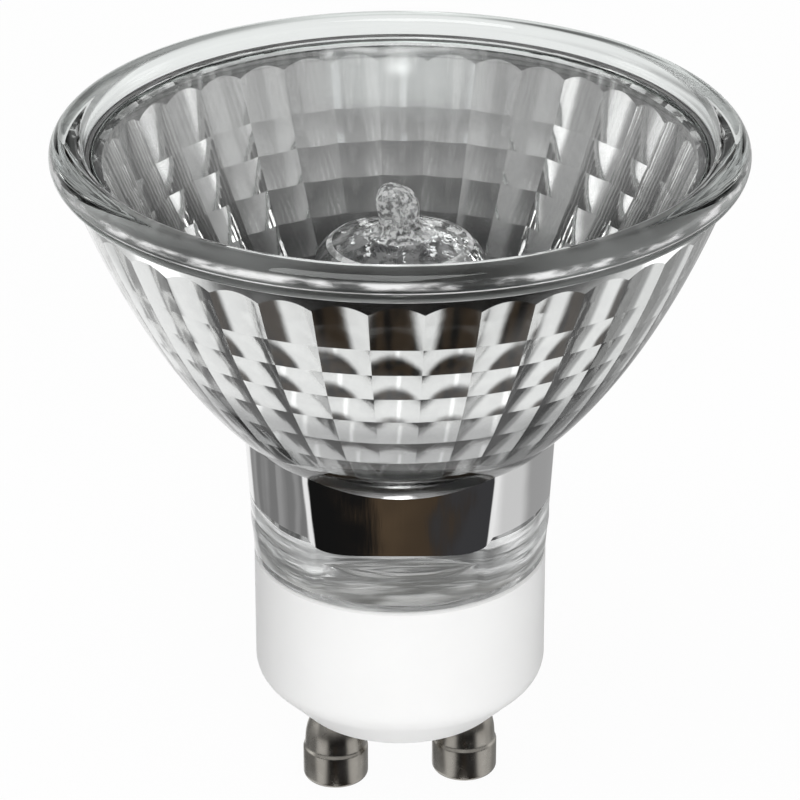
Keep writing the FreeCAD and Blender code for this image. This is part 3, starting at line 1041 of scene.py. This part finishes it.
plate = nickel_plate()
pin_angles = np.arange(pin_sides) * 2 * math.pi / pin_sides
for side in ("left", "right"):
    pin_low, pin_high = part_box("contact_pin_" + side)
    centre = ((pin_low.x + pin_high.x) / 2, (pin_low.y + pin_high.y) / 2)
    pin = Turning(pin_angles, centre)
    pin.skin(pin_rings(pin_low.z, pin_high.z, (pin_high.x - pin_low.x) / 2))
    pin = pin.build("twist_pin_" + side, [plate])
    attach(pin, "root")
    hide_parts("contact_pin_" + side)


# Cap: a cup of white ceramic, pressed and fired, with a chamfered foot and two holes for the pins.
# It has no glaze: its fine grain gives it a satin white with faint clouds.
def white_ceramic():
    material, nodes = new_finish("white_ceramic")
    cloud = nodes.noise(120, 3)
    grain = nodes.noise(4000, 3)
    shader = nodes.add("ShaderNodeBsdfPrincipled", {}, {
        "Base Color": nodes.between(cloud, (0.88, 0.88, 0.875), (0.93, 0.93, 0.925)),
        "Roughness": 0.38 + 0.14 * grain,
        "Normal": nodes.bump(grain, 0.1, 0.02 * MM),
    })
    nodes.surface(shader)
    return material


finish_nodes(("base_shell",), white_ceramic())


# Stage: a pale floor, soft studio lamps, and a far screen that only shiny things see.
# The screen stands for the room: pale walls with dark gaps, for the glass and the mirrors to show.
ambient = 0.4
floor_half = 3.0
floor_glow = 0.96
screen_radius = 3.0


def seen(nodes):
    """One for rays that meet the stage straight from the camera, in a mirror or through glass."""
    kinds = ("Is Camera Ray", "Is Glossy Ray", "Is Transmission Ray")
    camera_ray, glossy_ray, glass_ray = [nodes.add("ShaderNodeLightPath", {}, {}, kind) for kind in kinds]
    return nodes.add("ShaderNodeClamp", {}, {"Value": camera_ray + glossy_ray + glass_ray})


def stage_object(name, mesh, material):
    mesh.materials.append(material)
    piece = placed(name, mesh)
    return piece


def pale_floor():
    """Paper that takes the lamp's shadow, with enough glow of its own to be seen as white."""
    material, nodes = new_finish("pale_floor")
    paper = nodes.add("ShaderNodeBsdfDiffuse", {}, {"Color": grey(0.86)})
    white = nodes.add("ShaderNodeEmission", {}, {"Color": grey(1), "Strength": 1.0})
    nodes.surface(nodes.add("ShaderNodeMixShader", {}, {0: floor_glow * seen(nodes), 1: paper, 2: white}))
    return material


def room_paint():
    """The room by direction, where each zone covers the ones before it.

    Turn is in degrees to the right of the front and rise in degrees up; x, y and z point the same way.
    """
    material, nodes = new_finish("room_paint")
    place = {"Vector": nodes.place()}
    toward = nodes.add("ShaderNodeVectorMath", {"operation": "NORMALIZE"}, place, "Vector")
    x, y, z = [nodes.add("ShaderNodeSeparateXYZ", {}, {"Vector": toward}, axis) for axis in "XYZ"]
    turn = x.combine("ARCTAN2", x, -1 * y) * math.degrees(1)
    side = turn.combine("ABSOLUTE", turn, 0)
    rise = z.combine("ARCSINE", z, 0) * math.degrees(1)
    broad = nodes.smooth(nodes.noise(0.9, 1), 0.45, 0.58)
    fine = nodes.smooth(nodes.noise(1.7, 1), 0.42, 0.62)

    # Above: walls that darken upward, with pale side lamps, a dark back and the glare that the cover shows.
    walls = nodes.smooth(rise, 2, 9)
    even_wall = nodes.between(nodes.smooth(rise, 14, 40), grey(0.75), grey(0.08))
    patched_wall = nodes.between(0.35 * broad, even_wall, grey(0.1))
    ceiling = nodes.smooth(rise, 44, 54)
    left_shade = nodes.within(turn, -92, -64, 5) * nodes.within(rise, 8, 40, 5)
    side_lamps = nodes.within(side, 88, 110, 4) * nodes.within(rise, 4, 22, 4)
    back_wall = nodes.smooth(side, 108, 116) * nodes.smooth(rise, 9, 15)
    glare_halo = nodes.within(turn, 167, 179, 1) * nodes.within(rise, 19, 24.3, 0.8)
    glare = nodes.within(turn, 172.9, 175.1, 0.5) * nodes.within(rise, 22.0, 23.0, 0.3)
    glare_core = nodes.within(turn, 173.85, 174.15, 0.2) * nodes.within(rise, 22.35, 22.5, 0.15)
    front_lamp = nodes.within(turn, -9, -3, 1.5) * nodes.within(rise, 17, 23, 2)

    # Below, to the sides and behind: greys that the neck and the facets show.
    low_side = nodes.within(z, -0.61, -0.1, 0.03)
    not_front = nodes.smooth(y, -0.3, -0.1)
    left_low = (1 - nodes.smooth(x, -0.4, -0.3)) * not_front * low_side
    left_grey = nodes.between(fine, grey(0.2), grey(0.32))
    right_low = nodes.smooth(x, 0.3, 0.4) * not_front * low_side
    back_right_side = nodes.smooth(x, 0.1, 0.3) * nodes.smooth(y, 0.15, 0.35)
    back_right = back_right_side * nodes.within(z, -0.92, -0.3, 0.06)
    back_left_side = nodes.within(x, -0.34, -0.04, 0.06) * nodes.within(y, 0.45, 0.7, 0.08)
    back_left = back_left_side * nodes.within(z, -0.87, -0.68, 0.05)

    # Below, in front: a dark gap with brown in it, a dark horizon and two bright spots.
    below = 1 - nodes.smooth(z, 0.0, 0.04)
    gap = nodes.within(x, -0.54, 0.58, 0.08) * (1 - nodes.smooth(y, -0.28, -0.16)) * below
    gap_upper = nodes.within(rise, -34, -18, 2)
    low_brown = 0.3 * fine * (1 - nodes.smooth(rise, -36, -32))
    high_brown = nodes.within(turn, -9, -2, 1) * (0.5 + 0.5 * fine) * gap_upper
    brown = nodes.between(low_brown + high_brown, grey(0.008), (0.11, 0.075, 0.045))
    gap_shade = nodes.between(nodes.smooth(turn, -3, -1) * gap_upper, brown, (0.045, 0.045, 0.048))
    horizon = (1 - nodes.smooth(side, 70, 85)) * nodes.within(rise, -10, 4, 2)
    under_middle = nodes.within(x, -0.09, -0.01, 0.03) * nodes.within(y, -0.2, 0.3, 0.06)
    under = under_middle * (1 - nodes.smooth(z, -0.92, -0.88))
    spot_halo = nodes.within(turn, -16, 4, 4) * nodes.within(rise, -54, -42, 4)
    spot = nodes.within(turn, -9, -4, 1) * nodes.within(rise, -50, -44, 2)

    zones = [
        (walls, patched_wall),
        (ceiling, grey(0.06)),
        (left_shade, grey(0.38)),
        (side_lamps, grey(2.0)),
        (back_wall, grey(0.05)),
        (glare_halo, grey(0.45)),
        (glare, (1.1, 1.14, 1.13)),
        (glare_core, (3.0, 3.1, 3.05)),
        (front_lamp, (0.9, 0.92, 0.94)),
        (left_low, left_grey),
        (right_low, grey(0.66)),
        (back_right, grey(0.36)),
        (back_left, grey(0.12)),
        (gap, gap_shade),
        (horizon, grey(0.012)),
        (under, grey(1.4)),
        (spot_halo, grey(0.8)),
        (spot, grey(6.0)),
    ]
    shade = grey(0.92)
    for mask, colour in zones:
        shade = nodes.between(mask, shade, colour)
    nodes.surface(nodes.add("ShaderNodeEmission", {}, {"Color": shade, "Strength": 1.0}))
    return material


def softbox(name, place, size, power, mirrored):
    """A square lamp aimed at the object, which mirrors may or may not show."""
    light = bpy.data.lights.new(name, "AREA")
    light.size = size
    light.energy = power
    piece = placed(name, light)
    piece.location = place
    piece.rotation_euler = (-Vector(place)).to_track_quat("-Z", "Y").to_euler()
    piece.visible_glossy = mirrored
    piece.visible_transmission = mirrored


world = bpy.data.worlds.new("studio")
bpy.context.scene.world = world
world.use_nodes = True
sky = Nodes(world.node_tree)
strength = ambient + (1 - ambient) * seen(sky)
background = sky.add("ShaderNodeBackground", {}, {"Color": grey(1), "Strength": strength})
sky.add("ShaderNodeOutputWorld", {}, {"Surface": background})

floor_mesh = bpy.data.meshes.new("floor")
floor_corners = [
    (-floor_half, -floor_half, 0),
    (floor_half, -floor_half, 0),
    (floor_half, floor_half, 0),
    (-floor_half, floor_half, 0),
]
floor_mesh.from_pydata(floor_corners, [], [(0, 1, 2, 3)])
floor = stage_object("floor", floor_mesh, pale_floor())
floor.visible_glossy = False
floor.visible_transmission = False

screen_shape = bmesh.new()
bmesh.ops.create_uvsphere(screen_shape, u_segments=48, v_segments=24, radius=screen_radius)
screen_mesh = bpy.data.meshes.new("room_screen")
screen_shape.to_mesh(screen_mesh)
screen = stage_object("room_screen", screen_mesh, room_paint())
screen.visible_camera = False
screen.visible_diffuse = False
screen.visible_shadow = False

softbox("overhead_softbox", (-0.15, -0.25, 0.9), 0.6, 4.0, True)
softbox("front_softbox", (0.04, -0.9, 0.4), 0.5, 4.5, False)


# Camera: a long lens from a little above and to the left, fitted to the outline of the rim, cap and pins.
# The bounces are enough for light to come out of the glass again.
camera_turn = math.radians(-6)
camera_pitch = math.radians(26.13)
camera_reach = 281.06 * MM
camera_height = 169.89 * MM
camera_data = bpy.data.cameras.new("camera")
camera_data.sensor_width = 36
camera_data.lens = 189.4
camera_data.clip_start = 0.01
camera = placed("camera", camera_data)
camera_x = camera_reach * math.sin(camera_turn)
camera_y = -camera_reach * math.cos(camera_turn)
camera.location = (camera_x, camera_y, camera_height)
camera.rotation_euler = (math.pi / 2 - camera_pitch, 0, camera_turn)
bpy.context.scene.camera = camera

bpy.context.scene.view_settings.view_transform = "Standard"
bpy.context.scene.cycles.max_bounces = 24
bpy.context.scene.cycles.glossy_bounces = 10
bpy.context.scene.cycles.transmission_bounces = 20
